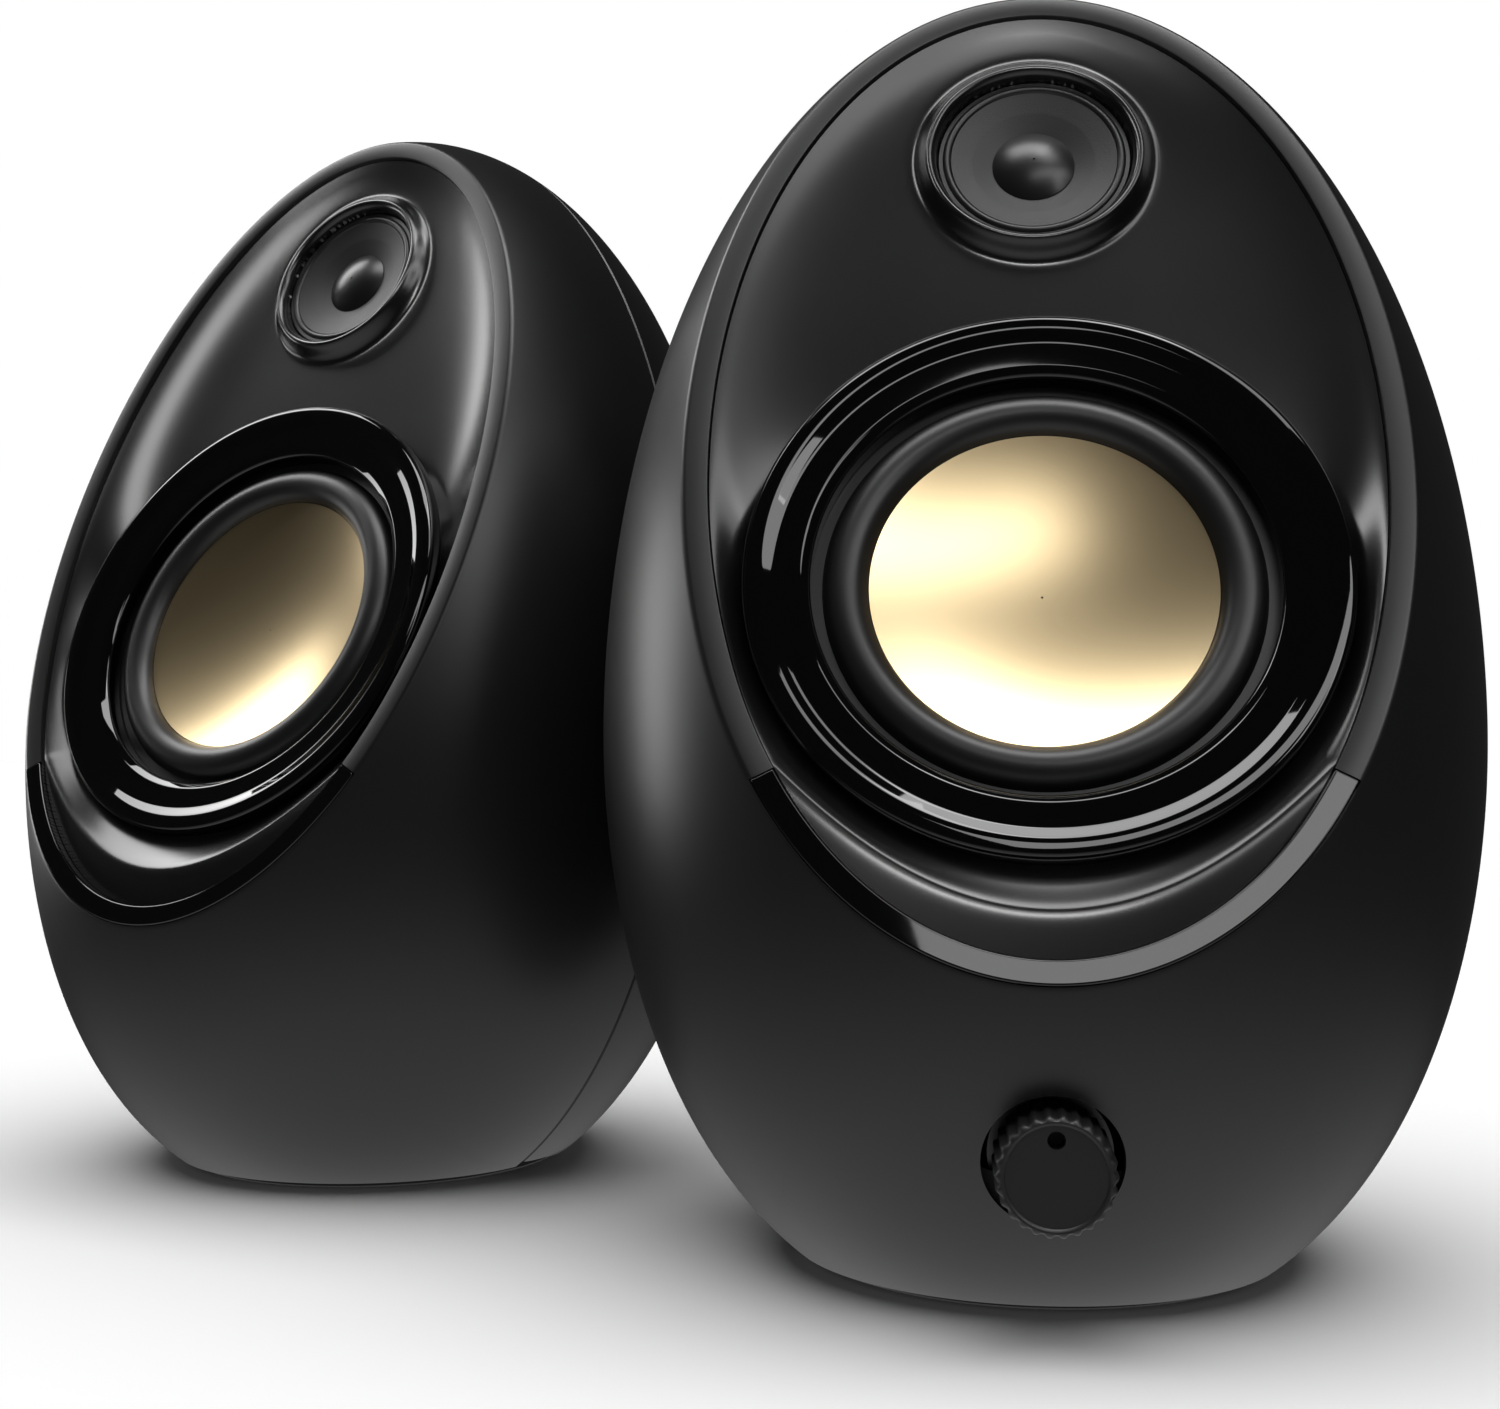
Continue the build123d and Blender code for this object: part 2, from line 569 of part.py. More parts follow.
def potentiometer():
    """Round can and threaded bushing with the shaft's bore."""
    can = Pos(0, 0, POCKET_FLOOR - POCKET_WALL - 4) * Cylinder(POT_R, 8)
    bushing = Pos(0, 0, POCKET_FLOOR) * Cylinder(BUSHING_R, 6)
    bore = Pos(0, 0, SHAFT_BACK + 10 - 0.5) * Cylinder(SHAFT_R + SHAFT_PLAY, 20)
    legs = [Pos(x, -9.0, 40) * Box(0.8, 5, 0.4) for x in (-3, 0, 3)]
    return KNOB_AT * (can + bushing + legs - bore)


def potentiometer_nut():
    nut = extrude(RegularPolygon(5.6, 6), 1.8) - Cylinder(BUSHING_R + 0.01, 10)
    return KNOB_AT * Pos(0, 0, POCKET_FLOOR) * nut


def amp_board():
    """Circuit board with its soldered parts."""
    board = Pos(0, BOARD_Y, BOARD_Z + BOARD_THICK / 2) * Box(BOARD_WIDE, BOARD_DEEP, BOARD_THICK)
    board = fillet(board.edges().filter_by(Axis.Z), 2)
    for place in board_posts():
        board -= place * Cylinder(LONG_SCREW[2] + HOLE_PLAY, 6)
    top = BOARD_Z + BOARD_THICK
    for x in (-16, -4):
        board += Pos(x, 12, top + 6) * Cylinder(4.0, 12)
    board += Pos(10, 10, top + 1) * Box(10, 8, 2)
    board += Pos(-16, 24, top + 2) * Box(8, 8, 4)
    return board


def amp_heatsink():
    """Finned block on the amplifier chip."""
    block = Pos(10, 10, BOARD_Z + BOARD_THICK + 6) * Box(14, 10, 8)
    for x in (-4.5, -1.5, 1.5, 4.5):
        block -= Pos(10 + x, 10, BOARD_Z + BOARD_THICK + 8) * Box(1.6, 12, 8)
    return block


def socket(x, nose_r, bore_r, bore_length, body):
    """Board-mounted socket: a box behind the panel and a round nose through it."""
    wide, deep, high = body
    front = PANEL_Y + 0.3
    inside = PANEL_Y - PANEL_WALL - 0.05
    box = Pos(x, inside - deep / 2, SOCKET_Z) * Box(wide, deep, high)
    nose = Pos(x, (front + inside) / 2, SOCKET_Z) * Rot(90, 0, 0) * Cylinder(nose_r, front - inside)
    bore = Pos(x, front - bore_length / 2, SOCKET_Z) * Rot(90, 0, 0) * Cylinder(bore_r, bore_length)
    return box + nose - bore


def audio_jack(x):
    """3.5 mm socket."""
    return socket(x, JACK_NOSE_R, JACK_BORE_R, JACK_BORE_LENGTH, (10, 14, 2 * (SOCKET_Z - BOARD_Z - BOARD_THICK)))


def dc_inlet(x):
    """Barrel power socket with its centre pin."""
    depth = 10.0
    shell = socket(x, INLET_NOSE_R, INLET_BORE_R, depth, (11, 12, 2 * (SOCKET_Z - BOARD_Z - BOARD_THICK)))
    pin = Pos(x, PANEL_Y - depth / 2 - 0.6, SOCKET_Z) * Rot(90, 0, 0) * Cylinder(1.05, depth)
    return shell + pin


def shared_pieces():
    """Pieces that both speakers have in the same shape."""
    return {
        "baffle": baffle(), "lower_trim": lower_trim(), "foot_pad": foot_pad(), "baffle_screws": baffle_screws(),
        "woofer_ring": woofer_ring(), "woofer_basket": woofer_basket(), "woofer_cone": woofer_cone(),
        "woofer_surround": woofer_surround(), "woofer_spider": woofer_spider(),
        "woofer_voice_coil": woofer_voice_coil(), "woofer_top_plate": woofer_top_plate(),
        "woofer_magnet": woofer_magnet(), "woofer_yoke": woofer_yoke(), "tweeter_frame": tweeter_frame(),
        "tweeter_cone": tweeter_cone(), "tweeter_dust_cap": tweeter_dust_cap(),
        "tweeter_surround": tweeter_surround(), "tweeter_voice_coil": tweeter_voice_coil(),
        "tweeter_magnet": tweeter_magnet(), "tweeter_yoke": tweeter_yoke(),
        "tweeter_capacitor": tweeter_capacitor(), "driver_leads": driver_leads(),
    }


def main_pieces(solid, cavity):
    """Pieces that only the main speaker has, or has in its own shape."""
    inlet_x, input_x, output_x = SOCKET_STEP, 0.0, -SOCKET_STEP
    holes = [(inlet_x, INLET_NOSE_R), (input_x, JACK_NOSE_R), (output_x, JACK_NOSE_R)]
    return {
        "housing": housing(solid, cavity, True), "rear_cover": rear_cover(solid, cavity, holes, True),
        "cover_screws": cover_screws(True), "volume_knob": volume_knob(), "knob_shaft": knob_shaft(),
        "potentiometer": potentiometer(), "potentiometer_nut": potentiometer_nut(), "amp_board": amp_board(),
        "amp_heatsink": amp_heatsink(), "dc_inlet": dc_inlet(inlet_x), "audio_in_jack": audio_jack(input_x),
        "speaker_out_jack": audio_jack(output_x),
    }


def satellite_pieces(solid, cavity):
    """Pieces that only the satellite has, or has in its own shape."""
    return {
        "housing": housing(solid, cavity, False), "cover_screws": cover_screws(False),
        "rear_cover": rear_cover(solid, cavity, [(0.0, JACK_NOSE_R)], False), "speaker_in_jack": audio_jack(0.0),
    }


def main():
    os.makedirs("parts", exist_ok=True)
    solid, cavity = cabinet()
    shared = shared_pieces()
    main_at = Pos(MAIN_X, MAIN_Y, 0)
    satellite_at = Pos(MAIN_X + SATELLITE_OFFSET_X, MAIN_Y + SATELLITE_OFFSET_Y, 0) * Rot(0, 0, SATELLITE_TURN)
    for name, shape in {**shared, **main_pieces(solid, cavity)}.items():
        export_step(main_at * shape, f"parts/main_{name}.step")
    for name, shape in {**shared, **satellite_pieces(solid, cavity)}.items():
        export_step(satellite_at * shape, f"parts/satellite_{name}.step")


main()
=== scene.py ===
import json
import math

import bmesh
import bpy
import numpy as np
from mathutils import Euler, Matrix, Vector
from mathutils.geometry import delaunay_2d_cdt


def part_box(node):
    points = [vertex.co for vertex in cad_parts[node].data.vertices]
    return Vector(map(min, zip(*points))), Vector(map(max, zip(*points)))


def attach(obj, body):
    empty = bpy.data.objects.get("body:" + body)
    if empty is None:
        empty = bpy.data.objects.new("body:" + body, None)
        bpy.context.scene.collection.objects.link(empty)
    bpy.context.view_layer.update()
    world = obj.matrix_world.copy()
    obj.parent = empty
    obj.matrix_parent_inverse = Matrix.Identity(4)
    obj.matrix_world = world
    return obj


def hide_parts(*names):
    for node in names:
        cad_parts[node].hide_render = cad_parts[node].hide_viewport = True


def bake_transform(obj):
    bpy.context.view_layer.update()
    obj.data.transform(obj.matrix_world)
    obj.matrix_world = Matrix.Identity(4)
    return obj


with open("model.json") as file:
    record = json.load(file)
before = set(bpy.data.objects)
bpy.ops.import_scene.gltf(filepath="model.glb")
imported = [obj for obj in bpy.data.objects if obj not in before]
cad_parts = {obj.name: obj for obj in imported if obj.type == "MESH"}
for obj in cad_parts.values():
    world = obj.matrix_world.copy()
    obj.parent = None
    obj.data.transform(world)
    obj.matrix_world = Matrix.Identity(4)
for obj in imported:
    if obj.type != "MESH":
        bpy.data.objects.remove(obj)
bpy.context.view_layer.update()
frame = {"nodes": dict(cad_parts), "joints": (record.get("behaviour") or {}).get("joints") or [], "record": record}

# Lengths are in millimetres and are brought to metres where a mesh is made. Each speaker is built about the
# centre of its own base, facing -Y, as in the CAD model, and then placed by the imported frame.
MM = 0.001
JOINTS = {joint["name"]: joint for joint in frame["joints"]}
SIDES = ("main", "satellite")

# Cabinet
EGG_R = 65.0
EGG_HIGH = 111.7
EGG_LOW = 88.6
LOW_FULLNESS = 0.403
EGG_LEAN = math.radians(6.25)
EGG_Y = 3.5
EGG_Z = 78.6
WALL = 3.0
FLOOR_GAP = 1.2
SEAM = 0.3                # gap between the cabinet halves
SEAM_BREAK = 0.25         # small chamfer on both sides of the seam
INNER_START = 0.16        # angle below the face at which the inner wall ends
POLE_TURN = 0.004         # angle of the small cap that closes the back of the egg
FACE_LEAN = math.radians(22.6)
FACE_Y = -79.1
RIM = 3.4
RIM_GAP = 0.15
RIM_EDGE = 0.45           # rounding of the rim's outer edge
RIM_BREAK = 0.25          # rounding of its inner edge

# Baffle
BAFFLE_FRONT = 0.6
BAFFLE_SEAT = 4.2
BAFFLE_BACK = 8.0
CRESCENT = 6.3            # width of the crescent below the dish
CRESCENT_SPREAD = math.radians(52)
CRESCENT_SLOPE = 0.22     # the crescent falls back towards the rim
FALL = BAFFLE_SEAT - BAFFLE_FRONT
FILLET_FALL = 3.5         # depth that the dish loses close to its edge
FILLET_REACH = 9.0
EDGE_SOFTNESS = 0.55
BAFFLE_HOLE_R = 39.7      # a little under the woofer ring's radius, which covers the edge

# Lower trim
TRIM_PROUD = 0.15
TRIM_DEPTH = 1.6
TRIM_GAP = 0.12
TRIM_BEVEL = 0.32
NOTCH_X = 38.1
NOTCH_V = 76.3

# Drivers
WOOFER_V = 107.0
RING_R = 40.4
RING_HOLE_R = 31.2
CONE_R = 23.4
CONE_DEPTH = 6.2
DISH = 3.5
CONE_SHEET = 0.6
ROLL_OUTER_R = 29.7
TWEETER_V = 175.8
TWEETER_HOLE_R = 14.2
TWEETER_LIP_R = 15.4      # crest of the raised lip
LIP_DEPTH = 0.9
LIP_FLOOR = 3.1           # depth of the lip's inner edge
LIP_SOFTNESS = 1.5
LIP_MESH_R = 18.5         # finer mesh up to here, and rings of its own up to the next radius
LIP_MESH_END = 22.0
TWEETER_CONE_R = 12.1
DUST_CAP_R = 6.0

# Knob and sockets
KNOB_Z = 23.3
KNOB_R = 7.5
KNOB_FRONT = 61.0
POCKET_FLOOR = 48.0
POCKET_R = 8.95
GRIPS = 26
GRIP_DEEP = 0.42
KNOB_FACE_R = 6.35
KNOB_SUNK = 0.3
POINTER_UP = 4.4
POINTER_R = 1.1
POINTER_DEEP = 3.2
PANEL_Y = 50.0
PANEL_HALF_WIDTH = 23.0
PANEL_LOW = 24.0
PANEL_HIGH = 51.0
PANEL_CORNER = 4
PANEL_THICK = 2.4
PANEL_OVERLAP = 0.4       # the panel reaches this far behind the pocket's edges
SOCKET_Z = 38.0
SOCKET_STEP = 14.5
JACK_NOSE_R = 3.9
INLET_NOSE_R = 5.0
HOLE_PLAY = 0.15
COVER_POSTS = ((51.5, 52.0), (53.6, -38.0))
POST_SEAT = 4.0
SCREW_WELL_R = 3.4

ACROSS = np.array([1.0, 0.0, 0.0])
FACE_UP = np.array([0.0, math.sin(FACE_LEAN), math.cos(FACE_LEAN)])
FACE_OUT = np.array([0.0, -math.cos(FACE_LEAN), math.sin(FACE_LEAN)])
FACE_ORIGIN = np.array([0.0, FACE_Y, 0.0])


# ---- geometry of the egg and its face ----

def egg_radius(height, shrink=0.0):
    pole = np.where(height > 0, EGG_HIGH, EGG_LOW) - shrink
    power = np.where(height > 0, 0.5, LOW_FULLNESS)
    return (EGG_R - shrink) * np.maximum(0.0, 1 - (height / pole) ** 2) ** power


def egg_axes(points):
    """Distance behind the seam plane, and height along the egg's axis."""
    y = points[..., 1] - EGG_Y
    z = points[..., 2] - EGG_Z
    behind = y * math.cos(EGG_LEAN) - z * math.sin(EGG_LEAN)
    along = y * math.sin(EGG_LEAN) + z * math.cos(EGG_LEAN)
    return behind, along


def egg_point(x, behind, along):
    y = behind * math.cos(EGG_LEAN) + along * math.sin(EGG_LEAN)
    z = along * math.cos(EGG_LEAN) - behind * math.sin(EGG_LEAN)
    return np.array([x, EGG_Y + y, EGG_Z + z])


def inside_egg(points, shrink):
    behind, along = egg_axes(points)
    low_enough = (along < EGG_HIGH - shrink) & (along > shrink - EGG_LOW)
    return low_enough & (np.hypot(points[..., 0], behind) < egg_radius(along, shrink))


def bisect(shape, far, keep_going, steps=36):
    """The value up to which keep_going holds, for every element of an array of that shape."""
    near = np.zeros(shape)
    far = np.full(shape, float(far))
    for _ in range(steps):
        middle = (near + far) / 2
        going = keep_going(middle)
        near = np.where(going, middle, near)
        far = np.where(going, far, middle)
    return near


def to_skin(start, directions, shrink=0.0):
    """Points of the egg's skin, seen from a point inside it."""

    def still_inside(reach):
        return inside_egg(start + directions * reach[..., None], shrink)

    reach = bisect(directions.shape[:-1], 2 * EGG_HIGH, still_inside)
    return start + directions * reach[..., None]


def on_face(x, v, depth):
    """Point behind the face plane in the speaker's own axes."""
    x, v, depth = np.broadcast_arrays(x, v, depth)
    return FACE_ORIGIN + x[..., None] * ACROSS + v[..., None] * FACE_UP - depth[..., None] * FACE_OUT


WOOFER_CENTRE = on_face(0.0, WOOFER_V, 0.0)


def rim_radius(theta):
    """Distance from the woofer's centre to the face's edge."""
    directions = np.cos(theta)[..., None] * ACROSS + np.sin(theta)[..., None] * FACE_UP
    return np.linalg.norm(to_skin(WOOFER_CENTRE, directions) - WOOFER_CENTRE, axis=-1)


def outline(theta, inset):
    """x and v of the face's edge moved inwards by inset, at angles about the woofer's centre."""
    step = 0.004
    here, before, after = rim_radius(theta), rim_radius(theta - step), rim_radius(theta + step)
    along_x = after * np.cos(theta + step) - before * np.cos(theta - step)
    along_v = after * np.sin(theta + step) - before * np.sin(theta - step)
    length = np.hypot(along_x, along_v)
    x = here * np.cos(theta) - inset * along_v / length
    v = WOOFER_V + here * np.sin(theta) + inset * along_x / length
    return x, v


# ---- mesh helpers ----

def placed(side):
    """Speaker's own axes to the frame's, from its foot pad and from the way its woofer travels."""
    low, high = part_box(side + "_foot_pad")
    axis = Vector(JOINTS[side + "_woofer_travel"]["axis"])
    turn = math.atan2(axis.x, -axis.y)
    return Matrix.Translation(((low.x + high.x) / 2, (low.y + high.y) / 2, 0)) @ Matrix.Rotation(turn, 4, "Z")


PLACES = {side: placed(side) for side in SIDES}


def grid_faces(rows, columns, close_rows=False, close_columns=True):
    """Quads between neighbouring points of a rows by columns array, flattened row by row."""
    row_count = rows if close_rows else rows - 1
    column_count = columns if close_columns else columns - 1
    i, j = np.meshgrid(np.arange(row_count), np.arange(column_count), indexing="ij")
    i, j = i.ravel(), j.ravel()
    i2, j2 = (i + 1) % rows, (j + 1) % columns
    return np.stack([i * columns + j, i * columns + j2, i2 * columns + j2, i2 * columns + j], axis=1).tolist()


def piece(name, points, faces, side, material, crease=35):
    """Mesh object from points in the speaker's own millimetres, smooth apart from creases over an angle."""
    place = np.array(PLACES[side])
    world = (np.asarray(points, float).reshape(-1, 3) * MM) @ place[:3, :3].T + place[:3, 3]
    mesh = bpy.data.meshes.new(name)
    mesh.from_pydata(world.tolist(), [], faces)
    mesh.validate()
    tidy = bmesh.new()
    tidy.from_mesh(mesh)
    bmesh.ops.remove_doubles(tidy, verts=tidy.verts, dist=1e-7)
    bmesh.ops.recalc_face_normals(tidy, faces=tidy.faces)
    tidy.to_mesh(mesh)
    tidy.free()
    obj = bpy.data.objects.new(name, mesh)
    bpy.context.scene.collection.objects.link(obj)
    mesh.materials.append(material)
    smooth(mesh, crease)
    return obj


def smooth(mesh, crease):
    mesh.shade_smooth()
    mesh.set_sharp_from_angle(angle=math.radians(crease))


def carve(obj, cutters, crease=35):
    """Takes closed cutters away from a closed piece."""
    for cutter in cutters:
        cut = obj.modifiers.new("cut", "BOOLEAN")
        cut.operation = "DIFFERENCE"
        cut.solver = "EXACT"
        cut.object = cutter
    bpy.context.view_layer.update()
    graph = bpy.context.evaluated_depsgraph_get()
    carved = bpy.data.meshes.new_from_object(obj.evaluated_get(graph))
    obj.modifiers.clear()
    obj.data = carved
    smooth(carved, crease)
    for cutter in cutters:
        bpy.data.objects.remove(cutter)


def settle(obj, side, body, slot, *nodes):
    """Gives a finished piece its body and hides the CAD nodes that it stands for; the slot argument is not used.
    """
    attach(obj, body)
    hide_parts(*[side + "_" + node for node in nodes])


def rounded(corners, closed=True, steps=6):
    """Outline through (a, b, radius) corners, each with its arc."""
    count = len(corners)
    points = []
    for i, (a, b, radius) in enumerate(corners):
        if radius == 0 or (not closed and i in (0, count - 1)):
            points.append((a, b))
            continue
        here = np.array([a, b])
        back = np.array(corners[i - 1][:2]) - here
        ahead = np.array(corners[(i + 1) % count][:2]) - here
        back_length, ahead_length = np.linalg.norm(back), np.linalg.norm(ahead)
        back, ahead = back / back_length, ahead / ahead_length
        half = math.acos(float(np.clip(back @ ahead, -1, 1))) / 2
        reach = min(radius / math.tan(half), 0.48 * back_length, 0.48 * ahead_length)
        start, end = here + back * reach, here + ahead * reach
        for k in range(steps + 1):
            t = k / steps
            weight = math.sin(half)
            bulge = 2 * t * (1 - t) * weight
            total = (1 - t) ** 2 + bulge + t ** 2
            points.append(tuple(((1 - t) ** 2 * start + bulge * here + t ** 2 * end) / total))
    return points


def lathe(profile, centre_v, columns=192, closed=True):
    """Points and faces of a turned piece on the face, from its (radius, depth) outline."""
    profile = np.array(profile)
    turn = np.linspace(0, 2 * math.pi, columns, endpoint=False)
    radius, depth = profile[:, :1], profile[:, 1:]
    points = on_face(radius * np.cos(turn), centre_v + radius * np.sin(turn), depth + 0 * turn)
    return points.reshape(-1, 3), grid_faces(len(profile), columns, close_rows=closed)


def turned(name, corners, centre_v, side, material, crease=50, columns=192, steps=6):
    points, faces = lathe(rounded(corners, steps=steps), centre_v, columns)
    return piece(name, points, faces, side, material, crease)


def cutter(points, faces, side):
    obj = piece("cutter", points, faces, side, MATERIALS["cabinet"])
    obj.hide_render = True
    return obj


def bar(start, direction, radius, length, side, columns=64):
    """Closed round bar, as a cutter."""
    start, direction = np.array(start, float), np.array(direction, float)
    direction /= np.linalg.norm(direction)
    first = np.cross(direction, [1.0, 0.3, 0.2])
    first /= np.linalg.norm(first)
    second = np.cross(direction, first)
    turn = np.linspace(0, 2 * math.pi, columns, endpoint=False)
    ring = radius * (np.cos(turn)[:, None] * first + np.sin(turn)[:, None] * second)
    points = np.concatenate([start + ring, start + ring + direction * length])
    faces = grid_faces(2, columns) + [list(range(columns)), list(range(columns, 2 * columns))]
    return cutter(points, faces, side)


# ---- materials ----

def ramped(nodes, links, source, low, high):
    """A value spread between low and high by a texture."""
    spread = nodes.new("ShaderNodeMapRange")
    spread.inputs["To Min"].default_value = low
    spread.inputs["To Max"].default_value = high
    links.new(source, spread.inputs["Value"])
    return spread.outputs["Result"]


def finish_of(name, colour, second, roughness, grain, bump, cloud=18.0, **sockets):
    """Material with cloudy colour and roughness and a fine surface grain.
    grain is the size of its texture in millimetres, and bump its depth in millimetres."""
    material = bpy.data.materials.new(name)
    material.use_nodes = True
    nodes, links = material.node_tree.nodes, material.node_tree.links
    shader = nodes["Principled BSDF"]
    place = nodes.new("ShaderNodeTexCoord")
    large = nodes.new("ShaderNodeTexNoise")
    large.inputs["Scale"].default_value = 1 / (cloud * MM)
    large.inputs["Detail"].default_value = 4.0
    links.new(place.outputs["Object"], large.inputs["Vector"])
    fine = nodes.new("ShaderNodeTexNoise")
    fine.inputs["Scale"].default_value = 1 / (grain * MM)
    fine.inputs["Detail"].default_value = 3.0
    links.new(place.outputs["Object"], fine.inputs["Vector"])
    mix = nodes.new("ShaderNodeMix")
    mix.data_type = "RGBA"
    mix.inputs["A"].default_value = (*colour, 1)
    mix.inputs["B"].default_value = (*second, 1)
    links.new(ramped(nodes, links, large.outputs["Fac"], 0.1, 0.9), mix.inputs["Factor"])
    links.new(mix.outputs["Result"], shader.inputs["Base Color"])
    both = nodes.new("ShaderNodeMath")
    both.operation = "MULTIPLY"
    links.new(large.outputs["Fac"], both.inputs[0])
    links.new(fine.outputs["Fac"], both.inputs[1])
    links.new(ramped(nodes, links, both.outputs["Value"], *roughness), shader.inputs["Roughness"])
    relief = nodes.new("ShaderNodeBump")
    relief.inputs["Distance"].default_value = bump * MM
    relief.inputs["Strength"].default_value = 1.0
    links.new(fine.outputs["Fac"], relief.inputs["Height"])
    links.new(relief.outputs["Normal"], shader.inputs["Normal"])
    for socket, value in sockets.items():
        shader.inputs[socket.replace("_", " ")].default_value = value
    return material


def black(level):
    return (level, level, level * 1.05)


MATERIALS = {
    "cabinet": finish_of("satin_black_shell", black(0.0045), black(0.006), (0.34, 0.40), 0.35, 0.0012),
    "cover": finish_of("satin_black_cover", black(0.0035), black(0.005), (0.34, 0.42), 0.35, 0.0015),
    "baffle": finish_of("smooth_black_baffle", black(0.003), black(0.004), (0.20, 0.25), 0.30, 0.0006),
    "gloss_trim": finish_of("gloss_black_trim", black(0.0008), black(0.0012), (0.02, 0.05), 0.8, 0.00005),
    "foot_rubber": finish_of("foot_rubber", black(0.012), black(0.018), (0.6, 0.8), 0.4, 0.01),
    "steel": finish_of("zinc_plated_steel", (0.55, 0.55, 0.56), (0.45, 0.46, 0.48), (0.25, 0.42), 0.3, 0.002,
                       Metallic=1.0),
    "painted_steel": finish_of("painted_steel", black(0.02), black(0.03), (0.4, 0.55), 0.5, 0.004),
    "champagne_metal": finish_of("champagne_metal", (0.80, 0.63, 0.37), (0.77, 0.60, 0.35), (0.28, 0.34),
                                 0.25, 0.0008, Metallic=1.0),
    "surround_rubber": finish_of("surround_rubber", black(0.005), black(0.007), (0.36, 0.44), 0.35, 0.0015),
    "spider_cloth": finish_of("spider_cloth", (0.35, 0.20, 0.07), (0.28, 0.16, 0.06), (0.8, 0.95), 0.5, 0.05),
    "copper": finish_of("enamelled_copper", (0.72, 0.30, 0.14), (0.62, 0.24, 0.11), (0.2, 0.35), 0.2, 0.01,
                        Metallic=1.0),
    "ferrite": finish_of("ferrite", (0.04, 0.04, 0.045), (0.06, 0.06, 0.065), (0.6, 0.8), 0.6, 0.02),
    "cone_paper": finish_of("black_cone_paper", black(0.008), black(0.015), (0.5, 0.66), 0.22, 0.022),
    "dome": finish_of("black_dome", black(0.004), black(0.006), (0.30, 0.38), 0.3, 0.001),
    "capacitor_sleeve": finish_of("capacitor_sleeve", (0.02, 0.05, 0.16), (0.02, 0.06, 0.2), (0.2, 0.3),
                                  0.6, 0.002),
    "lead_insulation": finish_of("lead_insulation", (0.2, 0.01, 0.01), (0.25, 0.015, 0.015), (0.3, 0.42),
                                 0.4, 0.003),
    "knob": finish_of("matte_knob", black(0.011), black(0.014), (0.42, 0.52), 0.3, 0.003),
    "circuit_board": finish_of("circuit_board", (0.01, 0.12, 0.04), (0.015, 0.16, 0.05), (0.3, 0.45),
                               0.5, 0.006),
    "bare_aluminium": finish_of("bare_aluminium", (0.75, 0.75, 0.76), (0.66, 0.67, 0.68), (0.3, 0.45),
                                0.3, 0.004, Metallic=1.0),
    "socket_plastic": finish_of("socket_plastic", black(0.015), black(0.02), (0.3, 0.4), 0.4, 0.002),
}


def repaint_nodes():
    """CAD nodes that stay get the detailed material of their slot."""
    for part in frame["record"]["subparts"]:
        node = frame["nodes"].get(part.get("node"))
        if node is None:
            continue
        material = MATERIALS[part["material_slot"]]
        node.data.materials.clear()
        node.data.materials.append(material)


# ---- cabinet ----

def directions_from_face(theta, phi):
    """Directions from the woofer's centre: theta on the face, phi from the face towards the inside."""
    flat = np.cos(theta)[..., None] * ACROSS + np.sin(theta)[..., None] * FACE_UP
    return np.cos(phi)[..., None] * flat - np.sin(phi)[..., None] * FACE_OUT


def directions_from_seam(theta, phi):
    """Directions from the egg's middle: theta on the seam plane, phi from straight back towards the seam."""
    back = egg_point(0.0, 1.0, 0.0) - egg_point(0.0, 0.0, 0.0)
    upward = egg_point(0.0, 0.0, 1.0) - egg_point(0.0, 0.0, 0.0)
    flat = np.cos(theta)[..., None] * ACROSS + np.sin(theta)[..., None] * upward
    return np.cos(phi)[..., None] * back + np.sin(phi)[..., None] * flat


def columns_with(corners, count):
    """Angles round a circle that pass exactly through the given ones."""
    corners = sorted(corners)
    spans = zip(corners, corners[1:] + [corners[0] + 2 * math.pi])
    parts = []
    for start, end in spans:
        steps = max(4, round(count * (end - start) / (2 * math.pi)))
        parts.append(np.linspace(start, end, steps, endpoint=False))
    return np.concatenate(parts)


def base_corner():
    """Where the seam meets the flat underside: a point of the skin, x positive."""
    along = (FLOOR_GAP - EGG_Z) / math.cos(EGG_LEAN)
    return egg_point(float(egg_radius(np.array(along))), 0.0, along)


